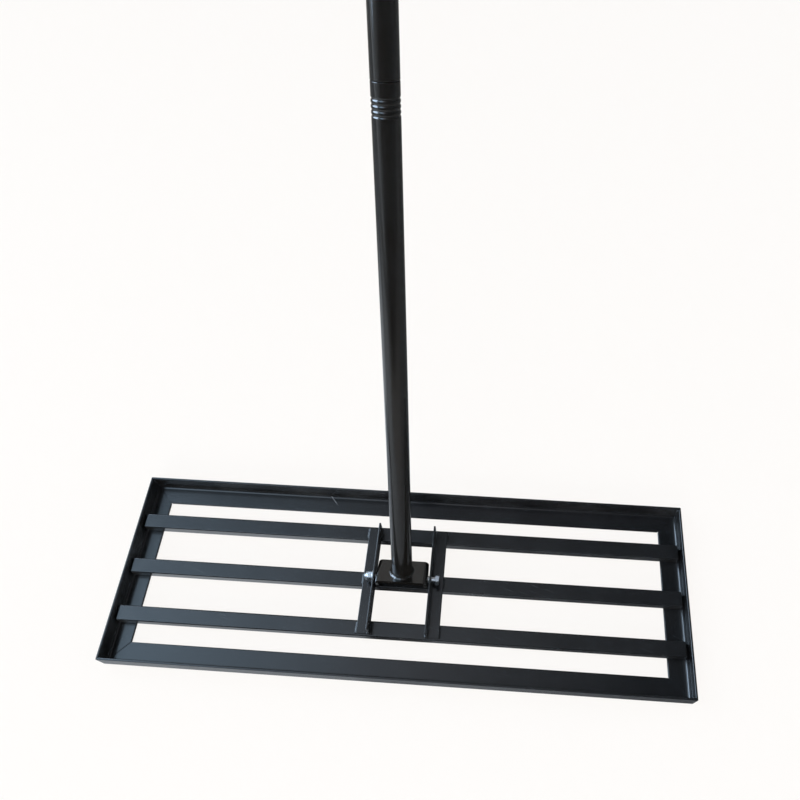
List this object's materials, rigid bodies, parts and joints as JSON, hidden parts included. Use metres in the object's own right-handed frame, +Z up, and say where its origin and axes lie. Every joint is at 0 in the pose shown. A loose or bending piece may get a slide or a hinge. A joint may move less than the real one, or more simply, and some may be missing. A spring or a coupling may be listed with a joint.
{
  "type": "lawn leveling rake",
  "caption": "Lawn leveling drag rake: mitred angle-steel ground frame with cross slats, and a long sectional tube handle that tilts on a bolted yoke.",
  "frame": {"origin": "middle of the ground frame's underside, on the ground", "axes": "+X along the frame to the right, +Y to the back, where the handle leans at rest, +Z up"},
  "size_m": [0.762, 0.9508, 1.7019],
  "materials": {
    "frame_paint": "black gloss paint",
    "handle_paint": "black gloss paint",
    "zinc_plate": "bright zinc plate",
    "insert_steel": "plain turned steel",
    "grip_rubber": "matt moulded rubber"
  },
  "bodies": {
    "ground_frame": {"front_rail": "frame_paint", "rear_rail": "frame_paint", "left_rail": "frame_paint", "right_rail": "frame_paint", "front_slat": "frame_paint", "middle_slat": "frame_paint", "rear_slat": "frame_paint", "left_hinge_angle": "frame_paint", "right_hinge_angle": "frame_paint", "corner_welds": "frame_paint", "slat_welds": "frame_paint", "left_hinge_welds": "frame_paint", "right_hinge_welds": "frame_paint", "pivot_bolt": "zinc_plate", "nut_washer": "zinc_plate", "lock_nut": "zinc_plate"},
    "handle": {"pivot_yoke": "handle_paint", "yoke_weld": "handle_paint", "lower_tube": "handle_paint", "middle_tube": "handle_paint", "upper_tube": "handle_paint", "lower_socket": "insert_steel", "middle_stud": "insert_steel", "middle_socket": "insert_steel", "upper_stud": "insert_steel", "hand_grip": "grip_rubber"}
  },
  "joints": [
    {"name": "handle_tilt", "type": "hinge", "parent": "ground_frame", "child": "handle", "pos_m": [0, 0, 0.035], "axis": [1, 0, 0], "range_deg": [-49, 101]}
  ]
}
